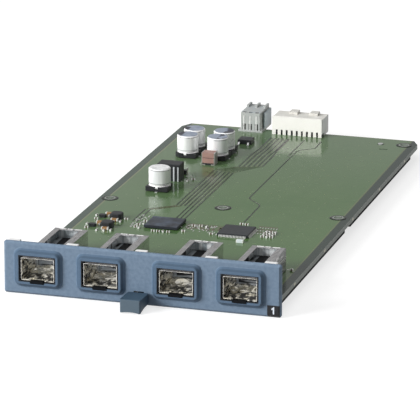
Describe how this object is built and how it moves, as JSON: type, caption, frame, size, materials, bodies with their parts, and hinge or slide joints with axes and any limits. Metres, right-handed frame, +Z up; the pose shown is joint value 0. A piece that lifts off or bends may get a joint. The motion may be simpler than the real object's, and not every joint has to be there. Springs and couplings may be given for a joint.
{
  "type": "switch line card",
  "caption": "Plug-in switch line card: moulded front with pluggable-port openings and a release lever, long circuit board with cages and power parts, dished cover below, rear headers",
  "frame": {"origin": "middle of the bounding box of the whole card in X and Y, lever and rear connectors included, at the flat underside of the cover, lever at rest", "axes": "+Z up from the cover to the component side, +Y from the front panel to the rear connectors, +X to the right seen from the front"},
  "size_m": [0.12, 0.2796, 0.0226],
  "materials": {
    "panel_plastic": "moulded blue-grey plastic, fine grain",
    "label_black": "black printed film with a pale plain numeral",
    "bracket_steel": "bright zinc-plated sheet",
    "lever_plastic": "satin dark blue-grey plastic",
    "fastener_steel": "bright plated steel",
    "spring_steel": "bare spring wire",
    "board_laminate": "green solder resist with a dark edge margin, semi-gloss",
    "cover_black": "black satin paint on sheet",
    "cage_steel": "bright nickel-plated spring sheet",
    "socket_black": "black moulded plastic",
    "contact_gold": "gold-plated contacts",
    "can_aluminium": "satin aluminium can, dark printed top on the rear four",
    "base_black": "black moulded base",
    "part_black": "black moulded or pressed body",
    "chip_epoxy": "dark grey epoxy, satin",
    "tin": "tinned metal, bright",
    "ceramic_brown": "pinkish brown ceramic, matt",
    "chip_ceramic": "greyish brown ceramic, matt",
    "power_plastic": "light grey plastic",
    "signal_plastic": "off-white plastic"
  },
  "bodies": {
    "card": {"front_panel": "panel_plastic", "number_label": "label_black", "front_bracket": "bracket_steel", "lever_pin": "fastener_steel", "lever_spring": "spring_steel", "circuit_board": "board_laminate", "solder_side_cover": "cover_black", "press_nuts": "fastener_steel", "cover_screws": "fastener_steel", "bracket_screws": "fastener_steel", "port_cage_1": "cage_steel", "port_socket_1": "socket_black", "port_cage_2": "cage_steel", "port_socket_2": "socket_black", "port_cage_3": "cage_steel", "port_socket_3": "socket_black", "port_cage_4": "cage_steel", "port_socket_4": "socket_black", "port_contacts": "contact_gold", "capacitor_can_1": "can_aluminium", "capacitor_base_1": "base_black", "capacitor_can_2": "can_aluminium", "capacitor_base_2": "base_black", "capacitor_can_3": "can_aluminium", "capacitor_base_3": "base_black", "capacitor_can_4": "can_aluminium", "capacitor_base_4": "base_black", "capacitor_can_5": "can_aluminium", "capacitor_base_5": "base_black", "capacitor_leads": "tin", "boxed_inductor": "part_black", "inductor_strips": "tin", "rectifier": "part_black", "rectifier_plate": "tin", "stacked_capacitor": "ceramic_brown", "stack_base": "part_black", "stack_frames": "tin", "power_switch": "part_black", "switch_leads": "tin", "grid_chip": "chip_epoxy", "grid_chip_balls": "tin", "flat_chip": "chip_epoxy", "flat_chip_leads": "tin", "filter_inductor_1": "part_black", "filter_inductor_2": "part_black", "coil_beads": "part_black", "chip_capacitors": "ceramic_brown", "small_chips": "chip_ceramic", "chip_ends": "tin", "power_header": "power_plastic", "power_blades": "tin", "signal_header": "signal_plastic", "signal_pins": "tin", "ground_pin": "tin"},
    "lever": {"release_lever": "lever_plastic"}
  },
  "joints": [
    {"name": "lever_pivot", "type": "hinge", "parent": "card", "child": "lever", "pos_m": [-0.0009, -0.1137, 0.0029], "axis": [-1, 0, 0], "range_deg": [0, 6], "stiffness_Nm_per_rad": 0.05, "springref_deg": -5.16, "deforming": ["lever_spring"]}
  ]
}
